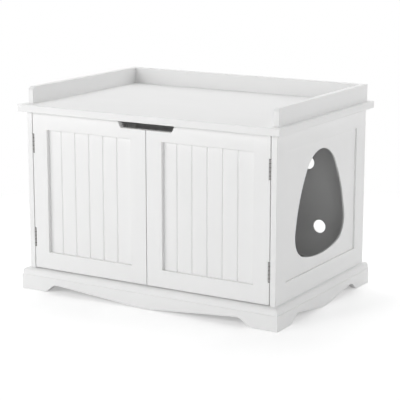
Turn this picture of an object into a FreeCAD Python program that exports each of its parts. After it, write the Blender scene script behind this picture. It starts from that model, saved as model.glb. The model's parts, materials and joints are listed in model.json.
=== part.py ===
import FreeCAD, Part
import math
import os
import types
import Sketcher

# A white cabinet that hides a cat's litter tray: a box on a shaped plinth, with two
# beadboard doors, a pear-shaped entrance in its right side and a railed top.
# Millimetres. X is the width, Y runs from the front (low) to the back, Z is up.
# The origin is on the floor, under the middle of the top board.

DRIVING_SIZES = {
    # top board and the low rails round three of its sides
    "board_width": 750,
    "board_depth": 520,
    "board_thickness": 18,
    "board_edge_radius": 1.5,
    "side_overhang": 16,
    "front_overhang": 19,
    "rear_overhang": 14,
    "gallery_height": 43,
    "gallery_thickness": 15,
    "gallery_front_setback": 8,
    "gallery_rear_overhang": 6,
    "gallery_corner_radius": 12,
    "eased_edge_radius": 1,
    # body
    "body_height": 409,
    "side_thickness": 15,
    "side_stile_width": 52,
    "side_top_rail_height": 45.5,
    "side_bottom_rail_height": 48,
    "side_frame_foot_clearance": 3,
    "side_recess": 5,
    "side_panel_thickness": 5,
    "panel_groove_depth": 8,
    "panel_edge_gap": 0.5,
    "floor_thickness": 12,
    "back_panel_thickness": 5,
    "back_panel_inset": 8,
    "stretcher_thickness": 15,
    "stretcher_foot": 12,
    "block_side": 25,
    # pear-shaped entrance in the right side panel
    "entrance_half_width": 137,
    "entrance_top_margin": 23,
    "entrance_bottom_margin": 27.5,
    "entrance_top_radius": 94,
    "entrance_flank_radius": 366,
    "entrance_corner_radius": 57,
    "entrance_bottom_radius": 352,
    # round air holes in the back panel
    "vent_radius": 17.5,
    "lower_vent_offset": 238,
    "lower_vent_height": 84,
    "upper_vent_offset": 202,
    "upper_vent_height": 253,
    # plinth boards
    "plinth_height": 55,
    "plinth_front_thickness": 18,
    "plinth_side_thickness": 15,
    "plinth_rear_overhang": 8,
    "foot_length": 64,
    "ogee_width": 48,
    "arch_height": 21,
    "belly_half_length": 24,
    "belly_clearance": 1,
    "moulding_round_radius": 8,
    "moulding_flat_height": 7,
    "moulding_cove_radius": 2,
    # doors
    "door_thickness": 15,
    "door_stile_width": 44,
    "door_top_rail_height": 42.5,
    "door_bottom_rail_height": 44,
    "door_panel_thickness": 6,
    "door_rebate_width": 8,
    "door_top_gap": 2,
    "door_bottom_gap": 2,
    "door_centre_gap": 2,
    "bead_count": 5,
    "bead_groove_width": 5,
    "bead_groove_depth": 2.5,
    "bead_shift": 3.5,
    "handle_half_width": 83,
    "handle_end_run": 9,
    "handle_drop": 19.5,
    "handle_corner_radius": 8,
    # butt hinges
    "hinge_length": 49,
    "hinge_end_distance": 80,
    "leaf_thickness": 1,
    "leaf_back_margin": 1,
    "leaf_screw_inset": 5,
    "leaf_gap": 0.2,
    "knuckle_radius": 2.7,
    "knuckle_end_gap": 0.2,
    "knuckle_clearance": 0.3,
    "hinge_pin_radius": 1.2,
    "hinge_screw_spacing": 30,
    "axis_setback": 1,
    # magnetic catches
    "catch_length": 46,
    "catch_depth": 14,
    "catch_height": 13,
    "catch_offset": 115,
    "magnet_length": 30,
    "magnet_depth": 8,
    "magnet_height": 8,
    "magnet_floor": 1,
    "magnet_air_gap": 0.4,
    "strike_thickness": 1,
    "strike_height": 12,
    # fasteners
    "fit_clearance": 0.05,
    "dowel_radius": 3,
    "door_dowel_length": 30,
    "door_dowel_edge": 5.5,
    "door_dowel_top_spacing": 10,
    "door_dowel_base_edge": 10,
    "door_dowel_base_spacing": 18,
    "top_dowel_radius": 4,
    "top_dowel_length": 30,
    "top_dowel_bite": 12,
    "top_dowel_end_distance": 130,
    "plinth_dowel_length": 24,
    "plinth_dowel_end_distance": 104,
    "cam_radius": 7.5,
    "cam_length": 12,
    "cam_drop": 24,
    "cam_end_distance": 40,
    "cam_bolt_radius": 2.5,
    "cam_head_radius": 3.5,
    "cam_head_height": 5,
    "cam_bolt_bite": 11,
    "cam_driver_half_length": 4,
    "cam_driver_half_width": 0.5,
    "cam_driver_depth": 1,
    "gallery_screw_end_distance": 42,
    "frame_screw_end_distance": 40,
    "plinth_screw_end_distance": 70,
    "stretcher_screw_inset": 6,
}

# Screws: shank radius, length, head radius, head height.
SCREW_KINDS = {
    "gallery": (2, 40, 4, 2.4),
    "frame": (2.5, 45, 4.5, 3),
    "plinth": (2, 25, 4, 2.4),
    "hinge": (1.3, 12, 2.3, 1),
    "catch": (1.5, 23, 2.8, 1.6),
    "strike": (1.2, 9, 2.2, 1),
}


class Size:
    """A length: its number now, and the expression that gives it from the sheet."""

    def __init__(self, number, text):
        self.number = float(number)
        self.text = text

    def __add__(self, other):
        other = as_size(other)
        return Size(self.number + other.number, "(%s + %s)" % (self.text, other.text))

    def __sub__(self, other):
        other = as_size(other)
        return Size(self.number - other.number, "(%s - %s)" % (self.text, other.text))

    def __mul__(self, other):
        other = as_size(other)
        return Size(self.number * other.number, "(%s * %s)" % (self.text, other.text))

    def __truediv__(self, other):
        other = as_size(other)
        return Size(self.number / other.number, "(%s / %s)" % (self.text, other.text))

    def __radd__(self, other):
        return as_size(other) + self

    def __rsub__(self, other):
        return as_size(other) - self

    def __rmul__(self, other):
        return as_size(other) * self

    def __neg__(self):
        return as_size(0) - self


def as_size(value):
    """A plain number as a Size, and a Size as it is."""
    if isinstance(value, Size):
        return value
    return Size(value, "%.6g" % value if value >= 0 else "(0 - %.6g)" % -value)


def hypotenuse(run, rise):
    """The length of a slope, from its run and its rise."""
    number = math.hypot(run.number, rise.number)
    return Size(number, "hypot(%s; %s)" % (run.text, rise.text))


def fill_sheet(sheet, sizes):
    """Write each size into its own cell as text, with its name as the cell's alias."""
    for row, (name, value) in enumerate(sizes.items(), start=1):
        sheet.set("A%d" % row, name)
        sheet.set("B%d" % row, "%g" % value)
        sheet.setAlias("B%d" % row, name)


def screw_sizes():
    """The screws' sizes under names of their own, for the sheet."""
    names = ("shank_radius", "length", "head_radius", "head_height")
    return {
        "%s_screw_%s" % (kind, name): value
        for kind, values in SCREW_KINDS.items()
        for name, value in zip(names, values)
    }


doc = FreeCAD.newDocument("litter_cabinet")
sheet = doc.addObject("Spreadsheet::Sheet", "Sizes")
ALL_SIZES = dict(DRIVING_SIZES, **screw_sizes())
fill_sheet(sheet, ALL_SIZES)
doc.recompute()
S = types.SimpleNamespace(
    **{name: Size(sheet.get(name), "Sizes." + name) for name in ALL_SIZES}
)
sub_parts = []

# ---------------------------------------------------------------- places shared by pieces

body_half_width = S.board_width / 2 - S.side_overhang
inner_half_width = body_half_width - S.side_thickness
body_front = S.front_overhang - S.board_depth / 2
body_back = S.board_depth / 2 - S.rear_overhang
body_top = S.plinth_height + S.body_height
board_top = body_top + S.board_thickness
gallery_top = board_top + S.gallery_height
gallery_front = body_front + S.gallery_front_setback
gallery_back = body_back + S.gallery_rear_overhang
gallery_middle = body_half_width - S.gallery_thickness / 2
side_middle = body_half_width - S.side_thickness / 2

side_frame_foot = S.arch_height + S.side_frame_foot_clearance
front_stile_end = body_front + S.side_stile_width
rear_stile_start = body_back - S.side_stile_width
recess_bottom = S.plinth_height + S.side_bottom_rail_height
recess_top = body_top - S.side_top_rail_height
side_panel_outer = body_half_width - S.side_recess
side_panel_inner = side_panel_outer - S.side_panel_thickness
body_centre_y = (body_front + body_back) / 2

back_panel_outer = body_back - S.back_panel_inset
back_panel_inner = back_panel_outer - S.back_panel_thickness
floor_bottom = S.plinth_height - S.floor_thickness
floor_middle = S.plinth_height - S.floor_thickness / 2
stretcher_front = back_panel_outer - S.stretcher_thickness
under_floor = (side_frame_foot + floor_bottom) / 2

plinth_front = body_front - S.plinth_front_thickness
plinth_back = body_back + S.plinth_rear_overhang
plinth_half_width = body_half_width + S.plinth_side_thickness

hinge_gap = S.leaf_thickness * 2 + S.leaf_gap
door_near = S.door_centre_gap / 2
door_far = inner_half_width - hinge_gap
door_front = body_front
door_back = door_front + S.door_thickness
door_bottom = S.plinth_height + S.door_bottom_gap
door_top = body_top - S.door_top_gap
door_panel_front = door_back - S.door_panel_thickness
panel_left = door_near + S.door_stile_width
panel_right = door_far - S.door_stile_width
panel_bottom = door_bottom + S.door_bottom_rail_height
panel_top = door_top - S.door_top_rail_height

axis_x = inner_half_width - S.knuckle_radius - S.knuckle_clearance
axis_y = door_front + S.axis_setback
hinge_heights = {
    "upper": door_top - S.hinge_end_distance,
    "lower": door_bottom + S.hinge_end_distance,
}
leaf_width = S.door_thickness - S.axis_setback - S.leaf_back_margin
hinge_screw_y = axis_y + leaf_width - S.leaf_screw_inset

strike_face = door_back + S.strike_thickness
catch_front = strike_face + S.magnet_air_gap
catch_bottom = body_top - S.catch_height
strike_middle_height = catch_bottom + S.magnet_floor + S.magnet_height / 2

SIDES = {"left": -1, "right": 1}
LEFT_OF_WAY = 1
RIGHT_OF_WAY = -1

# ---------------------------------------------------------------- small building tools


def bind(thing, name, length):
    """Tie a property to the sheet."""
    thing.setExpression(name, as_size(length).text)


def place(thing, point, turn=None):
    """Tie a thing's position to the sheet, with its turn as given."""
    thing.Placement = FreeCAD.Placement(FreeCAD.Vector(), turn or FreeCAD.Rotation())
    for axis, length in zip("xyz", point):
        bind(thing, "Placement.Base." + axis, length)


def turn_towards(direction):
    """The turn that takes +Z to a direction such as (1, 0, 0)."""
    return FreeCAD.Rotation(FreeCAD.Vector(0, 0, 1), FreeCAD.Vector(*direction))


def keep(thing, label):
    """Name a finished sub-part, so that it gets its own file."""
    thing.Label = label
    sub_parts.append(thing)
    return thing


def new_body(label):
    """An empty body that will be one sub-part."""
    return keep(doc.addObject("PartDesign::Body", label), label)


def origin_feature(body, role):
    """One of a body's own origin planes or axes."""
    return [item for item in body.Origin.OriginFeatures if item.Role == role][0]


def new_sketch(body, plane, offset):
    """A sketch on one of the body's origin planes, moved along its normal."""
    sketch = body.newObject("Sketcher::SketchObject", "outline")
    sketch.AttachmentSupport = [(origin_feature(body, plane + "_Plane"), "")]
    sketch.MapMode = "FlatFace"
    bind(sketch, "AttachmentOffset.Base.z", offset)
    return sketch


def constrain(sketch, length, kind, *where):
    """Add one dimension and tie it to the sheet."""
    length = as_size(length)
    index = sketch.addConstraint(Sketcher.Constraint(kind, *where, length.number))
    sketch.setExpression("Constraints[%d]" % index, length.text)


def pin_point(sketch, geometry, end, x, y):
    """Give a point of the sketch its two coordinates."""
    constrain(sketch, x, "DistanceX", -1, 1, geometry, end)
    constrain(sketch, y, "DistanceY", -1, 1, geometry, end)


def arc_through(start, end, radius, side):
    """The arc from start to end that bulges to the left or right of the way."""
    chord = end - start
    half = chord.Length / 2
    bulge = radius - math.sqrt(max(radius * radius - half * half, 0))
    left = FreeCAD.Vector(-chord.y, chord.x, 0).normalize()
    return Part.Arc(start, (start + end) / 2 + left * bulge * side, end)


def draw(sketch, corners):
    """Draw a closed outline. A corner is (x, y) after a line, or (x, y, radius, side) after an arc."""
    points = [FreeCAD.Vector(as_size(c[0]).number, as_size(c[1]).number, 0) for c in corners]
    ends = []
    for index, corner in enumerate(corners):
        start, end = points[index - 1], points[index]
        if len(corner) == 2:
            edge = sketch.addGeometry(Part.LineSegment(start, end))
        else:
            radius = as_size(corner[2])
            edge = sketch.addGeometry(arc_through(start, end, radius.number, corner[3]))
            constrain(sketch, radius, "Radius", edge)
        first = 1 if (sketch.getPoint(edge, 1) - start).Length < 1e-6 else 2
        ends.append((edge, first, 3 - first))
    for index, corner in enumerate(corners):
        edge, _, last = ends[index]
        next_edge, next_first, _ = ends[(index + 1) % len(corners)]
        sketch.addConstraint(Sketcher.Constraint("Coincident", edge, last, next_edge, next_first))
        pin_point(sketch, edge, last, corner[0], corner[1])


def rectangle(low_x, high_x, low_y, high_y):
    """The four corners of a rectangle."""
    return [(low_x, low_y), (high_x, low_y), (high_x, high_y), (low_x, high_y)]


def span(side, near, far):
    """The low and high X of a stretch that lies near to far from the middle plane."""
    return (near, far) if side > 0 else (-far, -near)


def pad(body, plane, corners, start, end):
    """Pad an outline between two heights along the plane's axis."""
    offset = {"XY": start, "XZ": -end, "YZ": start}[plane]
    sketch = new_sketch(body, plane, offset)
    draw(sketch, corners)
    feature = body.newObject("PartDesign::Pad", "pad")
    feature.Profile = sketch
    bind(feature, "Length", end - start)
    return body


def pocket(body, plane, corners, start, end):
    """Cut an outline out between two heights along the plane's axis."""
    offset = {"XY": end, "XZ": -start, "YZ": end}[plane]
    sketch = new_sketch(body, plane, offset)
    draw(sketch, corners)
    return cut_profile(body, sketch, end - start)


def cut_profile(body, sketch, depth):
    """Cut a sketch's outline to a depth, and see that the cut took something away."""
    doc.recompute()
    volume_before = body.Shape.Volume
    feature = body.newObject("PartDesign::Pocket", "pocket")
    feature.Profile = sketch
    bind(feature, "Length", depth)
    doc.recompute()
    if not body.Shape.Volume < volume_before:
        raise RuntimeError("a pocket in %s cuts nothing" % body.Label)
    return feature


def cut_box(body, xs, ys, zs):
    """Cut a square-edged notch, rebate or groove out of a body."""
    feature = body.newObject("PartDesign::SubtractiveBox", "notch")
    for name, (low, high) in zip(("Length", "Width", "Height"), (xs, ys, zs)):
        bind(feature, name, high - low)
    place(feature, (xs[0], ys[0], zs[0]))


def cut_bore(body, point, direction, radius, length):
    """Drill a body from a point along a direction."""
    feature = body.newObject("PartDesign::SubtractiveCylinder", "bore")
    bind(feature, "Radius", radius)
    bind(feature, "Height", length)
    place(feature, point, turn_towards(direction))


def add_bar(body, point, direction, radius, length):
    """Add a round bar to a body."""
    feature = body.newObject("PartDesign::AdditiveCylinder", "bar")
    bind(feature, "Radius", radius)
    bind(feature, "Height", length)
    place(feature, point, turn_towards(direction))


def fillet(body, radius, wanted):
    """Round the edges of a body that the test picks out."""
    doc.recompute()
    tip = body.Tip
    names = [
        "Edge%d" % number
        for number, edge in enumerate(body.Shape.Edges, start=1)
        if wanted(edge.BoundBox)
    ]
    feature = body.newObject("PartDesign::Fillet", "eased_edges")
    feature.Base = (tip, names)
    bind(feature, "Radius", radius)
    doc.recompute()


def is_at(number, length):
    """Whether a coordinate is the same as a length."""
    return abs(number - as_size(length).number) < 0.01


def is_upright_at(x, y):
    """A test for the upright edge at a place in plan."""
    return lambda edge: (
        is_at(edge.XMin, x)
        and is_at(edge.XMax, x)
        and is_at(edge.YMin, y)
        and is_at(edge.YMax, y)
    )


def cylinder(point, direction, radius, length):
    """A loose cylinder, for pegs, pins and shanks."""
    thing = doc.addObject("Part::Cylinder", "cylinder")
    bind(thing, "Radius", radius)
    bind(thing, "Height", length)
    place(thing, point, turn_towards(direction))
    return thing


def box(xs, ys, zs):
    """A loose box."""
    thing = doc.addObject("Part::Box", "box")
    for name, (low, high) in zip(("Length", "Width", "Height"), (xs, ys, zs)):
        bind(thing, name, high - low)
    place(thing, (xs[0], ys[0], zs[0]))
    return thing


def group(label, things):
    """Several loose solids as one sub-part."""
    compound = doc.addObject("Part::Compound", label)
    compound.Links = things
    return keep(compound, label)


def cut(base, tools):
    """Take tools out of a base."""
    tool = tools[0]
    if len(tools) > 1:
        tool = doc.addObject("Part::MultiFuse", "tools")
        tool.Shapes = tools
    result = doc.addObject("Part::Cut", "cut")
    result.Base = base
    result.Tool = tool
    return result


def screw_size(kind, name):
    """One of a screw's sizes, from the sheet."""
    return getattr(S, "%s_screw_%s" % (kind, name))


def screw(kind, point, direction):
    """A countersunk screw whose head's face is at the point and which bites along the direction."""
    shank = cylinder(
        point, direction, screw_size(kind, "shank_radius"), screw_size(kind, "length")
    )
    head = doc.addObject("Part::Cone", "head")
    bind(head, "Radius1", screw_size(kind, "head_radius"))
    bind(head, "Radius2", screw_size(kind, "shank_radius"))
    bind(head, "Height", screw_size(kind, "head_height"))
    place(head, point, turn_towards(direction))
    whole = doc.addObject("Part::MultiFuse", "screw")
    whole.Shapes = [shank, head]
    whole.Refine = True
    return whole


def screw_hole(body, kind, point, direction, countersunk):
    """The hole that a screw goes through, with its countersink where the head sits."""
    radius = screw_size(kind, "shank_radius") + S.fit_clearance
    cut_bore(body, point, direction, radius, screw_size(kind, "length") + S.fit_clearance)
    if countersunk:
        sink = body.newObject("PartDesign::SubtractiveCone", "countersink")
        bind(sink, "Radius1", screw_size(kind, "head_radius") + S.fit_clearance)
        bind(sink, "Radius2", radius)
        bind(sink, "Height", screw_size(kind, "head_height"))
        place(sink, point, turn_towards(direction))


# ---------------------------------------------------------------- top board and gallery


def make_top_board():
    """The top board, with its edges eased."""
    board = new_body("top_board")
    outline = rectangle(
        -S.board_width / 2, S.board_width / 2, -S.board_depth / 2, S.board_depth / 2
    )
    pad(board, "XY", outline, body_top, board_top)
    fillet(board, S.board_edge_radius, lambda edge: True)
    return board


def make_side_gallery_rail(name, side):
    """A low rail along one side of the top, with its front corner rounded."""
    rail = new_body(name + "_gallery_rail")
    radius = S.gallery_corner_radius
    corners = [
        (gallery_front, board_top),
        (gallery_back, board_top),
        (gallery_back, gallery_top),
        (gallery_front + radius, gallery_top),
        (gallery_front, gallery_top - radius, radius, RIGHT_OF_WAY),
    ]
    low, high = span(side, body_half_width - S.gallery_thickness, body_half_width)
    pad(rail, "YZ", corners, low, high)
    fillet(
        rail,
        S.eased_edge_radius,
        lambda edge: is_at(edge.XMin, edge.XMax) and edge.ZMin > board_top.number + 0.01,
    )
    return rail


def make_back_gallery_rail():
    """The low rail along the back of the top, between the side rails."""
    rail = new_body("back_gallery_rail")
    half = body_half_width - S.gallery_thickness
    outline = rectangle(-half, half, gallery_back - S.gallery_thickness, gallery_back)
    pad(rail, "XY", outline, board_top, gallery_top)
    fillet(
        rail,
        S.eased_edge_radius,
        lambda edge: is_at(edge.ZMin, gallery_top) and is_at(edge.YMin, edge.YMax),
    )
    return rail


top_board = make_top_board()
gallery_rails = {name: make_side_gallery_rail(name, side) for name, side in SIDES.items()}
gallery_rails["back"] = make_back_gallery_rail()

# ---------------------------------------------------------------- side frames and panels


def make_front_stile(name, side):
    """The front upright of a side frame, grooved for the panel and the rails' tongues."""
    stile = new_body(name + "_side_front_stile")
    groove_end = front_stile_end - S.panel_groove_depth
    corners = [
        (inner_half_width, body_front),
        (body_half_width, body_front),
        (body_half_width, front_stile_end),
        (side_panel_outer, front_stile_end),
        (side_panel_outer, groove_end),
        (side_panel_inner, groove_end),
        (side_panel_inner, front_stile_end),
        (inner_half_width, front_stile_end),
    ]
    corners = [(side * x, y) for x, y in corners]
    pad(stile, "XY", corners, side_frame_foot, body_top)
    fillet(stile, S.eased_edge_radius, is_upright_at(side * body_half_width, body_front))
    return stile


def make_rear_stile(name, side):
    """The rear upright of a side frame, with a second groove for the back panel."""
    stile = new_body(name + "_side_rear_stile")
    groove_end = rear_stile_start + S.panel_groove_depth
    back_groove = inner_half_width + S.panel_groove_depth
    corners = [
        (inner_half_width, rear_stile_start),
        (side_panel_inner, rear_stile_start),
        (side_panel_inner, groove_end),
        (side_panel_outer, groove_end),
        (side_panel_outer, rear_stile_start),
        (body_half_width, rear_stile_start),
        (body_half_width, body_back),
        (inner_half_width, body_back),
        (inner_half_width, back_panel_outer),
        (back_groove, back_panel_outer),
        (back_groove, back_panel_inner),
        (inner_half_width, back_panel_inner),
    ]
    corners = [(side * x, y) for x, y in corners]
    pad(stile, "XY", corners, side_frame_foot, body_top)
    fillet(stile, S.eased_edge_radius, is_upright_at(side * body_half_width, body_back))
    return stile


def make_side_rail(label, side, low, high, groove_low, groove_high):
    """A level rail of a side frame, with a tongue at each end and a groove for the panel."""
    rail = new_body(label)
    tongue_front = front_stile_end - S.panel_groove_depth
    tongue_back = rear_stile_start + S.panel_groove_depth
    corners = [
        (inner_half_width, front_stile_end),
        (side_panel_inner, front_stile_end),
        (side_panel_inner, tongue_front),
        (side_panel_outer, tongue_front),
        (side_panel_outer, front_stile_end),
        (body_half_width, front_stile_end),
        (body_half_width, rear_stile_start),
        (side_panel_outer, rear_stile_start),
        (side_panel_outer, tongue_back),
        (side_panel_inner, tongue_back),
        (side_panel_inner, rear_stile_start),
        (inner_half_width, rear_stile_start),
    ]
    corners = [(side * x, y) for x, y in corners]
    pad(rail, "XY", corners, low, high)
    groove_x = span(side, side_panel_inner, side_panel_outer)
    cut_box(rail, groove_x, (tongue_front, tongue_back), (groove_low, groove_high))
    return rail


def make_side_panel(name, side):
    """The thin panel that floats in the grooves of a side frame."""
    panel = new_body(name + "_side_panel")
    reach = S.panel_groove_depth - S.panel_edge_gap
    outline = rectangle(
        front_stile_end - reach,
        rear_stile_start + reach,
        recess_bottom - reach,
        recess_top + reach,
    )
    low, high = span(side, side_panel_inner, side_panel_outer)
    pad(panel, "YZ", outline, low, high)
    return panel


def entrance_circles():
    """Centres of the entrance's arcs, each arc meeting the next smoothly, as plain numbers."""
    top_radius = S.entrance_top_radius.number
    flank_radius = S.entrance_flank_radius.number
    corner_radius = S.entrance_corner_radius.number
    bottom_radius = S.entrance_bottom_radius.number
    middle = body_centre_y.number
    top = FreeCAD.Vector(middle, entrance_top.number - top_radius, 0)
    bottom = FreeCAD.Vector(middle, entrance_bottom.number + bottom_radius, 0)
    reach = S.entrance_half_width.number - corner_radius
    drop = math.sqrt((bottom_radius - corner_radius) ** 2 - reach ** 2)
    corner = FreeCAD.Vector(middle + reach, bottom.y - drop, 0)
    gap = corner - top
    from_top = flank_radius - top_radius
    from_corner = flank_radius - corner_radius
    along_gap = (from_top ** 2 - from_corner ** 2 + gap.Length ** 2) / (2 * gap.Length)
    aside = math.sqrt(from_top ** 2 - along_gap ** 2)
    way = FreeCAD.Vector(gap.x, gap.y, 0).normalize()
    left_of_way = FreeCAD.Vector(way.y, -way.x, 0)
    flank = top + way * along_gap + left_of_way * aside
    return top, flank, corner, bottom


def touch_point(outer_centre, outer_radius, inner_centre):
    """Where a circle inside another touches it."""
    way = FreeCAD.Vector(inner_centre.x - outer_centre.x, inner_centre.y - outer_centre.y, 0)
    return outer_centre + way.normalize() * outer_radius


def mirrored(point):
    """A point of the side view on the other side of the entrance's middle line."""
    return FreeCAD.Vector(2 * body_centre_y.number - point.x, point.y, 0)


def bulging_arc(start, end, radius):
    """An arc of the entrance's right half, which bulges away from its middle."""
    return arc_through(start, end, radius, RIGHT_OF_WAY)


def cut_entrance(panel):
    """Cut the pear-shaped entrance: six arcs, each touching the next, symmetric about a line."""
    low, high = span(1, side_panel_inner, side_panel_outer)
    sketch = new_sketch(panel, "YZ", high)
    top, flank, corner, bottom = entrance_circles()
    flank_radius = S.entrance_flank_radius.number
    bottom_radius = S.entrance_bottom_radius.number
    shoulder = touch_point(flank, flank_radius, top)
    hip = touch_point(flank, flank_radius, corner)
    heel = touch_point(bottom, bottom_radius, corner)
    ring = [
        (heel, hip, S.entrance_corner_radius),
        (hip, shoulder, S.entrance_flank_radius),
        (shoulder, mirrored(shoulder), S.entrance_top_radius),
        (mirrored(shoulder), mirrored(hip), S.entrance_flank_radius),
        (mirrored(hip), mirrored(heel), S.entrance_corner_radius),
        (mirrored(heel), heel, S.entrance_bottom_radius),
    ]
    arcs = []
    for start, end, radius in ring:
        edge = sketch.addGeometry(bulging_arc(start, end, radius.number))
        first = 1 if (sketch.getPoint(edge, 1) - start).Length < 1e-6 else 2
        arcs.append((edge, first, 3 - first))
    for (edge, _, last), (next_edge, first, _) in zip(arcs, arcs[1:] + arcs[:1]):
        sketch.addConstraint(Sketcher.Constraint("Tangent", edge, last, next_edge, first))
    for (edge, _, _), (_, _, radius) in zip(arcs, ring):
        constrain(sketch, radius, "Radius", edge)
    top_arc, bottom_arc = arcs[2][0], arcs[5][0]
    pin_point(sketch, top_arc, 3, body_centre_y, entrance_top - S.entrance_top_radius)
    pin_point(sketch, bottom_arc, 3, body_centre_y, entrance_bottom + S.entrance_bottom_radius)
    reach = S.entrance_half_width - S.entrance_corner_radius
    constrain(sketch, body_centre_y + reach, "DistanceX", -1, 1, arcs[0][0], 3)
    constrain(sketch, body_centre_y - reach, "DistanceX", -1, 1, arcs[4][0], 3)
    cut_profile(panel, sketch, high - low)


entrance_top = recess_top - S.entrance_top_margin
entrance_bottom = recess_bottom + S.entrance_bottom_margin
side_frames = {}
for side_name, side in SIDES.items():
    side_frames[side_name] = {
        "front_stile": make_front_stile(side_name, side),
        "rear_stile": make_rear_stile(side_name, side),
        "top_rail": make_side_rail(
            side_name + "_side_top_rail",
            side,
            recess_top,
            body_top,
            recess_top,
            recess_top + S.panel_groove_depth,
        ),
        "bottom_rail": make_side_rail(
            side_name + "_side_bottom_rail",
            side,
            side_frame_foot,
            recess_bottom,
            recess_bottom - S.panel_groove_depth,
            recess_bottom,
        ),
        "panel": make_side_panel(side_name, side),
    }
cut_entrance(side_frames["right"]["panel"])

# ---------------------------------------------------------------- back, floor and stretcher


def make_back_panel():
    """The thin back, in the rear stiles' grooves, with two air holes on each side."""
    panel = new_body("back_panel")
    half = inner_half_width + S.panel_groove_depth - S.panel_edge_gap
    outline = rectangle(-half, half, floor_bottom, body_top)
    pad(panel, "XZ", outline, back_panel_inner, back_panel_outer)
    sketch = new_sketch(panel, "XZ", -back_panel_inner)
    for side in SIDES.values():
        for offset, height in (
            (S.lower_vent_offset, S.lower_vent_height),
            (S.upper_vent_offset, S.upper_vent_height),
        ):
            centre = FreeCAD.Vector(
                side * offset.number, S.plinth_height.number + height.number, 0
            )
            hole = sketch.addGeometry(
                Part.Circle(centre, FreeCAD.Vector(0, 0, 1), S.vent_radius.number)
            )
            constrain(sketch, S.vent_radius, "Radius", hole)
            pin_point(sketch, hole, 3, side * offset, S.plinth_height + height)
    cut_profile(panel, sketch, S.back_panel_thickness)
    return panel


def make_board(label, xs, ys, zs):
    """A plain square-edged board."""
    return pad(new_body(label), "XY", rectangle(*xs, *ys), *zs)


back_panel = make_back_panel()
floor_panel = make_board(
    "floor_panel",
    (-inner_half_width, inner_half_width),
    (body_front, back_panel_inner),
    (floor_bottom, S.plinth_height),
)
back_stretcher = make_board(
    "back_stretcher",
    (-inner_half_width, inner_half_width),
    (stretcher_front, back_panel_outer),
    (S.stretcher_foot, floor_bottom),
)

# ---------------------------------------------------------------- plinth


def skirt_corners(middle, half_length):
    """What is cut from under a plinth board: two low arches with a shallow belly between."""
    foot = half_length - S.foot_length
    crest = foot - S.ogee_width
    step = S.ogee_width / 2
    rise = S.arch_height / 2
    ogee_radius = (step * step + rise * rise) / (rise * 2)
    belly = S.belly_half_length
    fall = S.arch_height - S.belly_clearance
    belly_radius = belly * (crest - belly) / fall
    belly_height = S.belly_clearance + belly * belly / (belly_radius * 2)
    below = -S.belly_clearance
    return [
        (middle - foot, below),
        (middle - foot, as_size(0)),
        (middle - foot + step, rise, ogee_radius, RIGHT_OF_WAY),
        (middle - crest, S.arch_height, ogee_radius, LEFT_OF_WAY),
        (middle - belly, belly_height),
        (middle + belly, belly_height, belly_radius, RIGHT_OF_WAY),
        (middle + crest, S.arch_height),
        (middle + foot - step, rise, ogee_radius, LEFT_OF_WAY),
        (middle + foot, as_size(0), ogee_radius, RIGHT_OF_WAY),
        (middle + foot, below),
    ]


def moulding_corners(face, inward):
    """What is cut from a plinth board's top edge: a round, a short flat and a small cove."""
    top = S.plinth_height
    cove = S.moulding_cove_radius
    round_radius = S.moulding_round_radius
    round_foot = top - round_radius
    flat_foot = round_foot - S.moulding_flat_height
    inner = face + inward * (cove + round_radius)
    shelf = face + inward * cove
    outside = face - inward * cove
    return [
        (outside, flat_foot - cove),
        (face, flat_foot - cove),
        (shelf, flat_foot, cove, -inward),
        (shelf, round_foot),
        (inner, top, round_radius, inward),
        (inner, top + cove),
        (outside, top + cove),
    ]


def make_front_plinth():
    """The front plinth board: mitred ends, shaped lower edge, moulded top edge."""
    board = new_body("front_plinth")
    mitre = plinth_front + S.plinth_side_thickness
    corners = [
        (-plinth_half_width, plinth_front),
        (plinth_half_width, plinth_front),
        (body_half_width, mitre),
        (body_half_width, body_front),
        (-body_half_width, body_front),
        (-body_half_width, mitre),
    ]
    pad(board, "XY", corners, as_size(0), S.plinth_height)
    pocket(board, "XZ", skirt_corners(as_size(0), plinth_half_width), plinth_front, body_front)
    pocket(
        board, "YZ", moulding_corners(plinth_front, 1), -plinth_half_width, plinth_half_width
    )
    return board


def make_side_plinth(name, side):
    """A side plinth board, mitred at its front end and square at its back."""
    board = new_body(name + "_plinth")
    mitre = plinth_front + S.plinth_side_thickness
    corners = [
        (plinth_half_width, plinth_front),
        (plinth_half_width, plinth_back),
        (body_half_width, plinth_back),
        (body_half_width, mitre),
    ]
    corners = [(side * x, y) for x, y in corners]
    pad(board, "XY", corners, as_size(0), S.plinth_height)
    low, high = span(side, body_half_width, plinth_half_width)
    middle = (plinth_front + plinth_back) / 2
    half_length = (plinth_back - plinth_front) / 2
    pocket(board, "YZ", skirt_corners(middle, half_length), low, high)
    pocket(
        board,
        "XZ",
        moulding_corners(side * plinth_half_width, -side),
        plinth_front,
        plinth_back,
    )
    return board


front_plinth = make_front_plinth()
side_plinths = {name: make_side_plinth(name, side) for name, side in SIDES.items()}


def make_corner_blocks():
    """Four glue blocks under the corners of the floor panel."""
    blocks = []
    for side in SIDES.values():
        xs = span(side, inner_half_width - S.block_side, inner_half_width)
        for front in (body_front, stretcher_front - S.block_side):
            ys = (front, front + S.block_side)
            blocks.append(box(xs, ys, (side_frame_foot, floor_bottom)))
    return group("corner_blocks", blocks)


make_corner_blocks()

# ---------------------------------------------------------------- doors


def make_stile(label, side, near_edge, far_edge, rebate):
    """An upright of a door, rebated behind for the panel."""
    stile = new_body(label)
    xs = span(side, near_edge, far_edge)
    pad(stile, "XY", rectangle(*xs, door_front, door_back), door_bottom, door_top)
    outer = far_edge if rebate[0] is near_edge else near_edge
    fillet(stile, S.eased_edge_radius, is_upright_at(side * outer, door_front))
    reach = S.door_rebate_width
    cut_box(
        stile,
        span(side, *rebate),
        (door_panel_front, door_back),
        (panel_bottom - reach, panel_top + reach),
    )
    return stile


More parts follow.
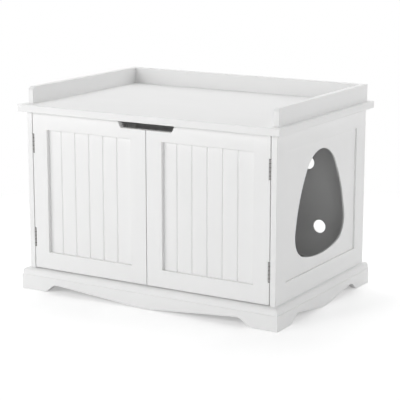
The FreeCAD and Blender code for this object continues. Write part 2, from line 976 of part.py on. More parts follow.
def make_door_rail(label, side, zs, rebate_zs):
    """A level rail of a door, rebated behind for the panel."""
    rail = new_body(label)
    xs = span(side, panel_left, panel_right)
    pad(rail, "XY", rectangle(*xs, door_front, door_back), *zs)
    cut_box(rail, xs, (door_panel_front, door_back), rebate_zs)
    return rail


def make_door_panel(label, side):
    """The door's panel, with upright grooves that make it look like narrow boards.

    The sheet is cut a little off the middle of a board, on both doors to the same side.
    """
    panel = new_body(label)
    reach = S.door_rebate_width - S.panel_edge_gap
    xs = span(side, panel_left - reach, panel_right + reach)
    zs = (panel_bottom - reach, panel_top + reach)
    pad(panel, "XY", rectangle(*xs, door_panel_front, door_back), *zs)
    pitch = (panel_right - panel_left) / (S.bead_count + 1)
    first = span(side, panel_left, panel_right)[0] + pitch - S.bead_shift
    half = S.bead_groove_width / 2
    groove = [
        (first - half, door_panel_front),
        (first, door_panel_front + S.bead_groove_depth),
        (first + half, door_panel_front),
    ]
    feature = pocket(panel, "XY", groove, *zs)
    pattern = panel.newObject("PartDesign::LinearPattern", "grooves")
    pattern.Originals = [feature]
    pattern.Direction = (origin_feature(panel, "X_Axis"), [""])
    bind(pattern, "Length", pitch * (S.bead_count - 1))
    pattern.setExpression("Occurrences", S.bead_count.text)
    panel.Tip = pattern
    doc.recompute()
    return panel


def cut_handle(piece, side):
    """Cut one door's half of the hand hole: a steep end with a rounded lower corner."""
    floor = body_top - S.handle_drop
    flat_end = S.handle_half_width - S.handle_end_run
    radius = S.handle_corner_radius
    slope = hypotenuse(S.handle_end_run, S.handle_drop)
    reach = radius * (slope - S.handle_end_run) / S.handle_drop
    along = reach * S.handle_end_run / slope
    up = reach * S.handle_drop / slope
    corners = [
        (as_size(0), floor),
        (flat_end - reach, floor),
        (flat_end + along, floor + up, radius, -side),
        (S.handle_half_width, body_top),
        (as_size(0), body_top),
    ]
    corners = [(side * c[0],) + tuple(c[1:]) for c in corners]
    pocket(piece, "XZ", corners, door_front, door_back)


def door_dowels(side):
    """Places of the pegs that join a door's rails to its stiles: start point of each."""
    y = (door_front + door_panel_front) / 2
    half = S.door_dowel_length / 2
    upper = body_top - S.handle_drop - S.door_dowel_edge
    lower = door_bottom + S.door_dowel_base_edge
    heights = {
        "top": (upper, upper - S.door_dowel_top_spacing),
        "bottom": (lower, lower + S.door_dowel_base_spacing),
    }
    return {
        (rail, edge): [
            (side * joint - half, y, height) for height in heights[rail]
        ]
        for rail in heights
        for edge, joint in (("meeting", panel_left), ("hinge", panel_right))
    }


def make_door(name, side):
    """One door: two stiles, two rails and a grooved panel, pegged together."""
    reach = S.door_rebate_width
    door = {
        "hinge_stile": make_stile(
            name + "_door_hinge_stile", side, panel_right, door_far,
            (panel_right, panel_right + reach),
        ),
        "meeting_stile": make_stile(
            name + "_door_meeting_stile", side, door_near, panel_left,
            (panel_left - reach, panel_left),
        ),
        "top_rail": make_door_rail(
            name + "_door_top_rail", side, (panel_top, door_top),
            (panel_top, panel_top + reach),
        ),
        "bottom_rail": make_door_rail(
            name + "_door_bottom_rail", side, (door_bottom, panel_bottom),
            (panel_bottom - reach, panel_bottom),
        ),
        "panel": make_door_panel(name + "_door_panel", side),
    }
    cut_handle(door["top_rail"], side)
    cut_handle(door["meeting_stile"], side)
    pegs = []
    bore_radius = S.dowel_radius + S.fit_clearance
    for (rail, edge), starts in door_dowels(side).items():
        for start in starts:
            pegs.append(cylinder(start, (1, 0, 0), S.dowel_radius, S.door_dowel_length))
            for piece in (rail + "_rail", edge + "_stile"):
                cut_bore(door[piece], start, (1, 0, 0), bore_radius, S.door_dowel_length)
    group(name + "_door_dowels", pegs)
    return door


doors = {name: make_door(name, side) for name, side in SIDES.items()}

# ---------------------------------------------------------------- hinges

KNUCKLES = 5
FRAME_KNUCKLES = (0, 2, 4)
DOOR_KNUCKLES = (1, 3)
knuckle_pitch = S.hinge_length / KNUCKLES


def make_leaf(label, side, middle, plate, own, others):
    """A hinge leaf: a thin plate rolled into knuckles, with room for the other leaf's."""
    leaf = new_body(label)
    low = middle - S.hinge_length / 2
    xs = span(side, *plate)
    pad(leaf, "XY", rectangle(*xs, axis_y, axis_y + leaf_width), low, low + S.hinge_length)
    length = knuckle_pitch - S.knuckle_end_gap
    centre = (side * axis_x, axis_y)
    for number in own:
        start = low + knuckle_pitch * number + S.knuckle_end_gap / 2
        add_bar(leaf, (*centre, start), (0, 0, 1), S.knuckle_radius, length)
    for number in others:
        start = low + knuckle_pitch * number
        radius = S.knuckle_radius + S.knuckle_clearance
        cut_bore(leaf, (*centre, start), (0, 0, 1), radius, knuckle_pitch)
    bore_radius = S.hinge_pin_radius + S.fit_clearance
    cut_bore(leaf, (*centre, low), (0, 0, 1), bore_radius, S.hinge_length)
    return leaf


def hinge_screw_points(side, middle, face):
    """Places of a leaf's two screws on the leaf's open face."""
    half = S.hinge_screw_spacing / 2
    return [(side * face, hinge_screw_y, middle + way * half) for way in (-1, 1)]


pins = []
frame_hinge_screws = []
for side_name, side in SIDES.items():
    door_hinge_screws = []
    for height_name, middle in hinge_heights.items():
        label = "%s_%s_hinge" % (side_name, height_name)
        frame_plate = (inner_half_width - S.leaf_thickness, inner_half_width)
        door_plate = (door_far, door_far + S.leaf_thickness)
        frame_leaf = make_leaf(
            label + "_frame_leaf", side, middle, frame_plate, FRAME_KNUCKLES, DOOR_KNUCKLES
        )
        door_leaf = make_leaf(
            label + "_door_leaf", side, middle, door_plate, DOOR_KNUCKLES, FRAME_KNUCKLES
        )
        low = middle - S.hinge_length / 2
        pins.append(
            cylinder((side * axis_x, axis_y, low), (0, 0, 1), S.hinge_pin_radius, S.hinge_length)
        )
        for point in hinge_screw_points(side, middle, frame_plate[0]):
            frame_hinge_screws.append(screw("hinge", point, (side, 0, 0)))
            screw_hole(frame_leaf, "hinge", point, (side, 0, 0), True)
            stile = side_frames[side_name]["front_stile"]
            screw_hole(stile, "hinge", point, (side, 0, 0), False)
        hinge_stile = doors[side_name]["hinge_stile"]
        for point in hinge_screw_points(side, middle, door_plate[1]):
            door_hinge_screws.append(screw("hinge", point, (-side, 0, 0)))
            screw_hole(door_leaf, "hinge", point, (-side, 0, 0), True)
            screw_hole(hinge_stile, "hinge", point, (-side, 0, 0), False)
        room = S.knuckle_radius + S.knuckle_clearance
        cut_box(
            hinge_stile,
            span(side, axis_x - room, door_far),
            (door_front, axis_y + room),
            (low - S.knuckle_clearance, low + S.hinge_length + S.knuckle_clearance),
        )
    group(side_name + "_door_hinge_screws", door_hinge_screws)
group("hinge_pins", pins)
group("hinge_frame_screws", frame_hinge_screws)

# ---------------------------------------------------------------- magnetic catches

housings = []
magnets = []
catch_screws = []
for side_name, side in SIDES.items():
    half_catch = S.catch_length / 2
    half_magnet = S.magnet_length / 2
    magnet_box = (
        span(side, S.catch_offset - half_magnet, S.catch_offset + half_magnet),
        (catch_front, catch_front + S.magnet_depth),
        (strike_middle_height - S.magnet_height / 2, strike_middle_height + S.magnet_height / 2),
    )
    magnets.append(box(*magnet_box))
    housing = box(
        span(side, S.catch_offset - half_catch, S.catch_offset + half_catch),
        (catch_front, catch_front + S.catch_depth),
        (catch_bottom, body_top),
    )
    tools = [box(*magnet_box)]
    for way in (-1, 1):
        x = side * (S.catch_offset + way * (half_catch + half_magnet) / 2)
        point = (x, catch_front + S.catch_depth / 2, catch_bottom)
        catch_screws.append(screw("catch", point, (0, 0, 1)))
        radius = S.catch_screw_shank_radius + S.fit_clearance
        tools.append(cylinder(point, (0, 0, 1), radius, S.catch_height))
        sink = doc.addObject("Part::Cone", "countersink")
        bind(sink, "Radius1", S.catch_screw_head_radius + S.fit_clearance)
        bind(sink, "Radius2", radius)
        bind(sink, "Height", S.catch_screw_head_height)
        place(sink, point)
        tools.append(sink)
        screw_hole(top_board, "catch", point, (0, 0, 1), False)
    housings.append(cut(housing, tools))

    half_strike = S.strike_height / 2
    strike_plate = make_board(
        side_name + "_strike_plate",
        magnet_box[0],
        (door_back, strike_face),
        (strike_middle_height - half_strike, strike_middle_height + half_strike),
    )
    point = (side * S.catch_offset, strike_face, strike_middle_height)
    screw_hole(strike_plate, "strike", point, (0, -1, 0), True)
    screw_hole(doors[side_name]["top_rail"], "strike", point, (0, -1, 0), False)
    keep(screw("strike", point, (0, -1, 0)), side_name + "_strike_screw")
group("catch_housings", housings)
group("catch_magnets", magnets)
group("catch_screws", catch_screws)

# ---------------------------------------------------------------- joinery of the body


def fasten(label, kind, places):
    """Screws at (point, direction, clamped piece, held piece), and the holes they go in."""
    screws = []
    for point, direction, clamped, held in places:
        screws.append(screw(kind, point, direction))
        screw_hole(clamped, kind, point, direction, True)
        screw_hole(held, kind, point, direction, False)
    return group(label, screws)


def peg(label, radius, length, places):
    """Dowels at (start point, direction, first piece, second piece), and their holes."""
    pegs = []
    for point, direction, *pieces in places:
        pegs.append(cylinder(point, direction, radius, length))
        for piece in pieces:
            cut_bore(piece, point, direction, radius + S.fit_clearance, length)
    return group(label, pegs)


gallery_places = []
frame_places = []
plinth_places = []
top_dowel_places = []
cam_bolts = []
cam_locks = []


def from_ends(low, high, distance):
    """The two places that lie a distance inside the ends of a stretch."""
    return (low + distance, high - distance)


def fit_cam(side, y, rail):
    """A bolt up into the top board, and the cam in the side rail that pulls it down."""
    height = body_top - S.cam_drop
    head_low = height - S.cam_head_height / 2
    foot = (side * side_middle, y, head_low)
    bolt = doc.addObject("Part::MultiFuse", "bolt")
    bolt.Shapes = [
        cylinder(foot, (0, 0, 1), S.cam_head_radius, S.cam_head_height),
        cylinder(foot, (0, 0, 1), S.cam_bolt_radius, body_top + S.cam_bolt_bite - head_low),
    ]
    bolt_hole_radius = S.cam_bolt_radius + S.fit_clearance
    bolt_hole_foot = (side * side_middle, y, body_top)
    cut_bore(top_board, bolt_hole_foot, (0, 0, 1), bolt_hole_radius, S.cam_bolt_bite)
    room = S.cam_head_radius + S.fit_clearance
    cut_bore(rail, foot, (0, 0, 1), room, body_top - head_low)
    centre = (side * inner_half_width, y, height)
    cam_hole_radius = S.cam_radius + S.fit_clearance
    cut_bore(rail, centre, (side, 0, 0), cam_hole_radius, S.cam_length + S.fit_clearance)
    slot_half = room + S.fit_clearance
    slot = box(
        span(side, side_middle - slot_half, side_middle + slot_half),
        (y - slot_half, y + slot_half),
        (head_low - S.fit_clearance, height + S.cam_radius),
    )
    depth = span(side, inner_half_width, inner_half_width + S.cam_driver_depth)
    long, wide = S.cam_driver_half_length, S.cam_driver_half_width
    driver = [
        box(depth, (y - half_y, y + half_y), (height - half_z, height + half_z))
        for half_y, half_z in ((long, wide), (wide, long))
    ]
    cam = cut(cylinder(centre, (side, 0, 0), S.cam_radius, S.cam_length), [slot] + driver)
    return bolt, cam


gallery_ends = from_ends(gallery_front, gallery_back, S.gallery_screw_end_distance)
for side_name, side in SIDES.items():
    frame = side_frames[side_name]
    for y in (gallery_ends[0], (gallery_front + gallery_back) / 2, gallery_ends[1]):
        point = (side * gallery_middle, y, body_top)
        gallery_places.append((point, (0, 0, 1), top_board, gallery_rails[side_name]))
    frame_ends = from_ends(front_stile_end, rear_stile_start, S.frame_screw_end_distance)
    for y in (frame_ends[0], body_centre_y, frame_ends[1]):
        point = (side * body_half_width, y, floor_middle)
        frame_places.append((point, (-side, 0, 0), frame["bottom_rail"], floor_panel))
    point = (side * body_half_width, stretcher_front + S.stretcher_screw_inset, under_floor)
    frame_places.append((point, (-side, 0, 0), frame["rear_stile"], back_stretcher))
    for y in from_ends(front_stile_end, rear_stile_start, S.plinth_screw_end_distance):
        point = (side * inner_half_width, y, under_floor)
        held = side_plinths[side_name]
        plinth_places.append((point, (side, 0, 0), frame["bottom_rail"], held))
    for y in from_ends(front_stile_end, rear_stile_start, S.top_dowel_end_distance):
        point = (side * side_middle, y, body_top + S.top_dowel_bite - S.top_dowel_length)
        top_dowel_places.append((point, (0, 0, 1), frame["top_rail"], top_board))
    for y in from_ends(front_stile_end, rear_stile_start, S.cam_end_distance):
        bolt, cam = fit_cam(side, y, frame["top_rail"])
        cam_bolts.append(bolt)
        cam_locks.append(cam)
back_rail_half = body_half_width - S.gallery_thickness
back_ends = from_ends(-back_rail_half, back_rail_half, S.gallery_screw_end_distance)
for x in (back_ends[0], as_size(0), back_ends[1]):
    point = (x, gallery_back - S.gallery_thickness / 2, body_top)
    gallery_places.append((point, (0, 0, 1), top_board, gallery_rails["back"]))
plinth_dowel_ends = from_ends(-inner_half_width, inner_half_width, S.plinth_dowel_end_distance)

fasten("gallery_screws", "gallery", gallery_places)
fasten("frame_screws", "frame", frame_places)
fasten("plinth_screws", "plinth", plinth_places)
peg("top_dowels", S.top_dowel_radius, S.top_dowel_length, top_dowel_places)
peg(
    "plinth_dowels",
    S.dowel_radius,
    S.plinth_dowel_length,
    [
        (
            (x, body_front - S.plinth_dowel_length / 2, floor_middle),
            (0, 1, 0),
            front_plinth,
            floor_panel,
        )
        for x in (plinth_dowel_ends[0], as_size(0), plinth_dowel_ends[1])
    ],
)
group("cam_bolts", cam_bolts)
group("cam_locks", cam_locks)

# ---------------------------------------------------------------- check and write

doc.recompute()
for thing in doc.Objects:
    if "Invalid" in thing.State or "Error" in thing.State:
        raise RuntimeError("%s failed: %s" % (thing.Label, thing.State))
for thing in sub_parts:
    if thing.Shape.isNull() or not thing.Shape.isValid() or not thing.Shape.Solids:
        raise RuntimeError("%s has no sound shape" % thing.Label)

os.makedirs("parts", exist_ok=True)
for thing in sub_parts:
    thing.Shape.exportStep("parts/%s.step" % thing.Label)
    print("%-34s %3d solid(s) %12.0f mm3" % (
        thing.Label, len(thing.Shape.Solids), thing.Shape.Volume
    ))
print(len(sub_parts), "sub-parts")
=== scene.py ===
import json
import math

import bmesh
import bpy
import numpy as np
from mathutils import Matrix, Vector
from mathutils.bvhtree import BVHTree


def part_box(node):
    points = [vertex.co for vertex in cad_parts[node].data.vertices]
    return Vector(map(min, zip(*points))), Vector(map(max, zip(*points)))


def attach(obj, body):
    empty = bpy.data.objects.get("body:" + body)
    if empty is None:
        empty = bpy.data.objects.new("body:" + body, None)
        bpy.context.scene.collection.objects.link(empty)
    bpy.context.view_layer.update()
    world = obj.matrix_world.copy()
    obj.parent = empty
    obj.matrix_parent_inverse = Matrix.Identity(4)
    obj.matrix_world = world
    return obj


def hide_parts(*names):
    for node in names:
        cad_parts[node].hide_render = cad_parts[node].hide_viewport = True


# The looks of a white litter box cabinet: satin paint on eased boards, butt hinges in dark
# satin nickel, cross-head screws, bare blocks and dowels. Metres, in the model's own frame.

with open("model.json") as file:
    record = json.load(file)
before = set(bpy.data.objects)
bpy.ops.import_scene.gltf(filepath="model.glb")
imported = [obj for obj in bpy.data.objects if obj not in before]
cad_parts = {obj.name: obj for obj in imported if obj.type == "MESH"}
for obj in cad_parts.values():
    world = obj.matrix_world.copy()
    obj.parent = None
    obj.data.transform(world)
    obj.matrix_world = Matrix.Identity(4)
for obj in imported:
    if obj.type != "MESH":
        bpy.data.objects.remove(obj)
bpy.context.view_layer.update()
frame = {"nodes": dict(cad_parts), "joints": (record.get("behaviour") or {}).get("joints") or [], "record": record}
nodes = frame["nodes"]
body_of_node = {
    node: body
    for body, members in frame["record"]["behaviour"]["bodies"].items()
    for node in members
}
slot_of_node = {part["node"]: part["material_slot"] for part in frame["record"]["subparts"]}
MM = 0.001

# ---------------------------------------------------------------- material tools


def add(tree, kind, inputs=(), **settings):
    """Add a node. An input given as a socket is linked, any other value is set."""
    node = tree.nodes.new("ShaderNode" + kind)
    for name, value in settings.items():
        setattr(node, name, value)
    for name, value in dict(inputs).items():
        if isinstance(value, bpy.types.NodeSocket):
            tree.links.new(value, node.inputs[name])
        else:
            node.inputs[name].default_value = value
    return node


def new_material(name):
    """An empty material: its tree and its main shader."""
    material = bpy.data.materials.new(name)
    material.use_nodes = True
    tree = material.node_tree
    return material, tree, tree.nodes["Principled BSDF"]


def grain_place(tree, along, stretch):
    """The object's own coordinates, drawn out along one axis."""
    scale = [1.0, 1.0, 1.0]
    scale["xyz".index(along)] = 1 / stretch
    place = add(tree, "TexCoord").outputs["Object"]
    return add(tree, "Mapping", {"Vector": place, "Scale": scale}).outputs["Vector"]


def noise(tree, place, size, detail=3.0, roughness=0.5):
    """Noise whose blotches are about as wide as the size, in metres."""
    inputs = {"Vector": place, "Scale": 1 / size, "Detail": detail, "Roughness": roughness}
    return add(tree, "TexNoise", inputs).outputs["Fac"]


def between(tree, value, low, high, start=0.3, end=0.7):
    """A value spread over a range."""
    inputs = {"Value": value, "From Min": start, "From Max": end, "To Min": low, "To Max": high}
    return add(tree, "MapRange", inputs).outputs["Result"]


def blend(tree, value, colours, places=(0.3, 0.7)):
    """A value turned into a colour between two."""
    ramp = add(tree, "ValToRGB", {"Fac": value})
    for element, colour, place in zip(ramp.color_ramp.elements, colours, places):
        element.color = (*colour, 1)
        element.position = place
    return ramp.outputs["Color"]


def times(tree, first, second):
    """The product of two values."""
    node = add(tree, "Math", operation="MULTIPLY")
    for socket, value in zip(node.inputs, (first, second)):
        if isinstance(value, bpy.types.NodeSocket):
            tree.links.new(value, socket)
        else:
            socket.default_value = value
    return node.outputs["Value"]


def dent(tree, surface, heights):
    """Raise the surface by several (height, depth in metres) pairs, one over the other."""
    normal = None
    for height, depth in heights:
        inputs = {"Height": height, "Distance": depth, "Strength": 1.0}
        if normal:
            inputs["Normal"] = normal
        normal = add(tree, "Bump", inputs).outputs["Normal"]
    tree.links.new(normal, surface.inputs["Normal"])


# ---------------------------------------------------------------- materials

PAINT_LIGHT = (0.884, 0.884, 0.882)
PAINT_DARK = (0.864, 0.864, 0.861)
PAINT_WORN = (0.81, 0.805, 0.795)
PAINT_MOST_WORN = 0.6
PAINT_ROUGHNESS = (0.54, 0.64)
PAINT_SPECULAR = 0.35
WOOD_ROUGHNESS = (0.6, 0.8)
# painted shade: near-black put on the rounded knuckle ends of the hinge leaves, where the gaps between knuckles
# fall in shade
KNUCKLE_SHADOW = (0.03, 0.03, 0.03)


def painted_wood(along):
    """Satin white paint: brush lines and faint grain along one axis, edges rubbed a little."""
    material, tree, surface = new_material("white_paint_along_" + along)
    lines = noise(tree, grain_place(tree, along, stretch=14), size=1.6 * MM, detail=4)
    pores = noise(tree, grain_place(tree, along, stretch=30), size=0.7 * MM, detail=2)
    blotches = noise(tree, grain_place(tree, along, stretch=3), size=90 * MM, detail=2)
    peel = noise(tree, grain_place(tree, along, stretch=1), size=2.5 * MM, detail=1)
    tint = blend(tree, blotches, (PAINT_DARK, PAINT_LIGHT))
    worn = add(tree, "Attribute", attribute_name="worn").outputs["Fac"]
    rubbed = times(tree, worn, between(tree, peel, 0.0, PAINT_MOST_WORN))
    mix = add(tree, "MixRGB", {"Fac": rubbed, "Color1": tint, "Color2": (*PAINT_WORN, 1)})
    tree.links.new(mix.outputs["Color"], surface.inputs["Base Color"])
    gloss = between(tree, blotches, *PAINT_ROUGHNESS)
    tree.links.new(gloss, surface.inputs["Roughness"])
    surface.inputs["Specular IOR Level"].default_value = PAINT_SPECULAR
    dent(tree, surface, [(lines, 0.01 * MM), (pores, 0.006 * MM), (peel, 0.012 * MM)])
    return material


def bare_wood(name, early, late, ring_size):
    """Bare wood: growth rings along Z, darker late wood and fine pores."""
    material, tree, surface = new_material(name)
    place = grain_place(tree, "z", stretch=12)
    wander = noise(tree, place, size=14 * MM)
    inputs = {"Vector": place, "Scale": 1 / ring_size, "Distortion": 2.5, "Detail": 2}
    rings = add(tree, "TexWave", inputs, wave_type="RINGS", rings_direction="Z")
    pores = noise(tree, grain_place(tree, "z", stretch=25), size=0.5 * MM)
    tone = times(tree, rings.outputs["Fac"], between(tree, wander, low=0.6, high=1.0))
    colour = blend(tree, tone, (early, late), places=(0.2, 0.9))
    tree.links.new(colour, surface.inputs["Base Color"])
    tree.links.new(between(tree, pores, *WOOD_ROUGHNESS), surface.inputs["Roughness"])
    dent(tree, surface, [(pores, 0.08 * MM), (rings.outputs["Fac"], 0.05 * MM)])
    return material


def plated_steel(name, colours, roughness, brushed):
    """Plated or cast metal: fine lines, faint spots and uneven gloss; marked faces (the hinge knuckle ends)
    painted near-black as painted shade between the knuckles.
    """
    material, tree, surface = new_material(name)
    lines = noise(tree, grain_place(tree, "z", brushed), size=0.25 * MM)
    spots = noise(tree, grain_place(tree, "z", stretch=1), size=3 * MM)
    worn = add(tree, "Attribute", attribute_name="worn").outputs["Fac"]
    bare = blend(tree, spots, colours)
    # painted shade: the marked knuckle ends turn near-black to stand for the shade in the gaps between knuckles
    mix = add(tree, "MixRGB", {"Fac": worn, "Color1": bare, "Color2": (*KNUCKLE_SHADOW, 1)})
    tree.links.new(mix.outputs["Color"], surface.inputs["Base Color"])
    surface.inputs["Metallic"].default_value = 1.0
    tree.links.new(between(tree, spots, *roughness), surface.inputs["Roughness"])
    dent(tree, surface, [(lines, 0.006 * MM), (spots, 0.01 * MM)])
    return material


def moulded(name, colours, roughness, grit):
    """A moulded or pressed material: plastic or ferrite, with a fine grit in its surface."""
    material, tree, surface = new_material(name)
    fine = noise(tree, grain_place(tree, "z", stretch=1), grit)
    cloud = noise(tree, grain_place(tree, "z", stretch=1), size=12 * MM, detail=2)
    tree.links.new(blend(tree, cloud, colours), surface.inputs["Base Color"])
    tree.links.new(between(tree, fine, *roughness), surface.inputs["Roughness"])
    dent(tree, surface, [(fine, 0.03 * MM)])
    return material


PAINT = {axis: painted_wood(axis) for axis in "xyz"}
MATERIALS = {
    "hinge_steel": plated_steel(
        "satin_nickel", ((0.27, 0.265, 0.26), (0.36, 0.355, 0.35)), (0.28, 0.4), brushed=8
    ),
    "bright_steel": plated_steel(
        "zinc_plate", ((0.60, 0.61, 0.62), (0.70, 0.70, 0.70)), (0.25, 0.4), brushed=1
    ),
    "cam_zinc": plated_steel(
        "die_cast_zinc", ((0.50, 0.50, 0.51), (0.60, 0.60, 0.60)), (0.42, 0.58), brushed=1
    ),
    "catch_plastic": moulded(
        "white_plastic", ((0.84, 0.84, 0.82), (0.87, 0.87, 0.85)), (0.38, 0.5), grit=0.5 * MM
    ),
    "magnet": moulded(
        "ferrite", ((0.075, 0.075, 0.08), (0.11, 0.11, 0.115)), (0.5, 0.7), grit=0.3 * MM
    ),
    "dowel_wood": bare_wood("beech", (0.74, 0.60, 0.42), (0.62, 0.46, 0.29), ring_size=3 * MM),
    "bare_pine": bare_wood("pine", (0.80, 0.66, 0.47), (0.66, 0.45, 0.25), ring_size=6 * MM),
}


def material_for(node):
    """The material of a node's slot; paint is brushed along the board's longest side."""
    slot = slot_of_node[node]
    if slot != "white_paint":
        return MATERIALS[slot]
    low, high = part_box(node)
    size = high - low
    return PAINT["xyz"[max(range(3), key=lambda axis: size[axis])]]


# ---------------------------------------------------------------- mesh tools

WELD = 0.001 * MM
FLAT_ANGLE = math.radians(0.5)
SQUARE_ANGLE = math.radians(50)
ALIKE = math.cos(math.radians(35))
TOUCH = 0.12 * MM
EASE_STEPS = 3
ROUND_PROFILE = 0.5
NARROWEST = 2.2  # a facet narrower than this many radii keeps its edges
KNUCKLE_RADIUS = 2.7 * MM
KNUCKLE_ROUND = 0.6 * MM


def clean_mesh(node):
    """A node's mesh with its doubled points joined and its flat faces whole."""
    mesh = bmesh.new()
    mesh.from_mesh(nodes[node].data)
    bmesh.ops.remove_doubles(mesh, verts=mesh.verts, dist=WELD)
    bmesh.ops.dissolve_limit(mesh, angle_limit=FLAT_ANGLE, verts=mesh.verts, edges=mesh.edges)
    return mesh


def shade(data):
    """Shade flat faces flat and rounded ones smooth, whatever their sizes."""
    around = [[] for _ in data.vertices]
    for polygon in data.polygons:
        polygon.use_smooth = True
        for vertex in polygon.vertices:
            around[vertex].append(polygon.index)
    facing = [polygon.normal.copy() for polygon in data.polygons]
    pull = [polygon.normal * polygon.area for polygon in data.polygons]
    normals = [None] * len(data.loops)
    for polygon in data.polygons:
        own = facing[polygon.index]
        for loop, vertex in zip(polygon.loop_indices, polygon.vertices):
            alike = (pull[near] for near in around[vertex] if facing[near].dot(own) > ALIKE)
            normals[loop] = sum(alike, Vector()).normalized()
    data.normals_split_custom_set(normals)


def stand_for(node, mesh, ending):
    """Make the piece that stands for a node: give it its material, hang it on its body and hide the node."""
    data = bpy.data.meshes.new(node + ending)
    mesh.to_mesh(data)
    mesh.free()
    shade(data)
    piece = bpy.data.objects.new(node + ending, data)
    bpy.context.scene.collection.objects.link(piece)
    data.materials.append(material_for(node))
    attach(piece, body_of_node[node])
    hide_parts(node)


clean = {node: clean_mesh(node) for node in nodes}
every_point = []
every_face = []
face_owner = []
for node, mesh in clean.items():
    first = len(every_point)
    mesh.verts.index_update()
    every_point += [vertex.co.copy() for vertex in mesh.verts]
    for face in mesh.faces:
        every_face.append([first + vertex.index for vertex in face.verts])
        face_owner.append(node)
everything = BVHTree.FromPolygons(every_point, every_face)
every_place = np.array(every_point)


def touches_another(point, node):
    """Whether another node's surface passes through a point."""
    near = everything.find_nearest_range(point, TOUCH)
    return any(face_owner[index] != node for _, _, index, _ in near)


def is_square(edge):
    """Whether an edge sticks out and is about square."""
    return edge.is_manifold and edge.is_convex and edge.calc_face_angle() > SQUARE_ANGLE


def split_at_neighbours(mesh, node):
    """Split the square edges where a neighbour's corner lies on them."""
    low, high = (np.array(corner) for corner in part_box(node))
    inside = (every_place > low - TOUCH) & (every_place < high + TOUCH)
    near = every_place[inside.all(axis=1)]
    for edge in [edge for edge in mesh.edges if is_square(edge)]:
        vertex = edge.verts[0]
        start, end = (np.array(point.co) for point in edge.verts)
        way = end - start
        length = np.linalg.norm(way)
        shares = (near - start) @ way / length**2
        off = np.linalg.norm(start + shares[:, None] * way - near, axis=1)
        on_edge = (off < TOUCH) & (shares * length > TOUCH) & ((1 - shares) * length > TOUCH)
        done = 0.0
        for share in sorted(shares[on_edge]):
            if (share - done) * length > TOUCH:
                _, vertex = bmesh.utils.edge_split(edge, vertex, (share - done) / (1 - done))
                done = share


def reach(face, edge):
    """How far a face goes from one of its edges."""
    start, end = (vertex.co for vertex in edge.verts)
    way = (end - start).normalized()
    return max((vertex.co - start).cross(way).length for vertex in face.verts)


def round_over(mesh, edges, radius, worn):
    """Round edges over, and mark the new faces with the given share: real paint wear on painted boards, painted
    shade at hinge knuckle ends.
    """
    narrow = NARROWEST * radius
    free = [
        edge for edge in edges if all(reach(face, edge) > narrow for face in edge.link_faces)
    ]
    marks = mesh.faces.layers.float["worn"]
    rounded = bmesh.ops.bevel(
        mesh,
        geom=free,
        offset=radius,
        segments=EASE_STEPS,
        profile=ROUND_PROFILE,
        affect="EDGES",
        clamp_overlap=False,
    )
    for face in rounded["faces"]:
        face[marks] = worn


def free_edges(mesh, node):
    """The square edges that no other node covers."""
    return [
        edge
        for edge in mesh.edges
        if is_square(edge)
        and not touches_another((edge.verts[0].co + edge.verts[1].co) / 2, node)
    ]


def hinge_axis(node):
    """Where the pin of a hinge leaf stands, seen from above."""
    side = node.split("_")[0]
    joint = next(joint for joint in frame["joints"] if joint["name"] == side + "_door_hinge")
    return Vector(joint["pos_m"][:2])


def knuckle_ends(mesh, node):
    """The round edges at the ends of a hinge leaf's knuckles."""
    axis = hinge_axis(node)
    ends = []
    for edge in mesh.edges:
        flat = abs(edge.verts[0].co.z - edge.verts[1].co.z) < WELD
        apart = [(vertex.co.xy - axis).length - KNUCKLE_RADIUS for vertex in edge.verts]
        if flat and max(map(abs, apart)) < TOUCH and is_square(edge):
            ends.append(edge)
    return ends


def ease(node, radius):
    """Stand for a node with a piece whose free square edges are rounded over."""
    mesh = clean[node]
    split_at_neighbours(mesh, node)
    # one face mark that holds both real paint wear and the painted shade at hinge knuckle ends
    mesh.faces.layers.float.new("worn")
    if node.endswith("_leaf"):
        # knuckle ends are rounded and fully marked, so their metal is painted near-black as painted shade between
        # the knuckles
        round_over(mesh, knuckle_ends(mesh, node), KNUCKLE_ROUND, 1.0)
        round_over(mesh, free_edges(mesh, node), radius, 0.0)
    else:
        worn = 1.0 if slot_of_node[node] == "white_paint" else 0.0
        round_over(mesh, free_edges(mesh, node), radius, worn)
    bmesh.ops.remove_doubles(mesh, verts=mesh.verts, dist=WELD)
    stand_for(node, mesh, "_eased")


# ---------------------------------------------------------------- screws

SCREW_SIDES = 24
HEAD_RIM = 0.08  # shares of the head's radius
SLOT_REACH = 0.62
SLOT_FLOOR = 0.45  # the recess's floor as a share of its mouth
SLOT_DEPTH = 0.7  # share of the head's height
SLOT_ANGLE = math.radians(15)
ANGLE_SLACK = 0.01
THREAD_PITCH = 0.8  # shares of the shank's radius
THREAD_DEPTH = 0.25
POINT_LENGTH = 1.5
POINT_RADIUS = 0.3
THREAD_STEPS = 4
PLAIN_SHANK = 0.3  # share of the length
PLAIN_NECK = 1.2  # share of the head's height
AT_RIM = 0.99  # what counts as the head's rim, the tip and the shank
AT_TIP = 0.9
AT_SHANK = 1.01


def islands(mesh):
    """The points of each separate solid in a mesh."""
    left = set(mesh.verts)
    while left:
        group, front = set(), [left.pop()]
        while front:
            vertex = front.pop()
            group.add(vertex)
            for edge in vertex.link_edges:
                other = edge.other_vert(vertex)
                if other in left:
                    left.discard(other)
                    front.append(other)
        yield np.array([vertex.co for vertex in group])


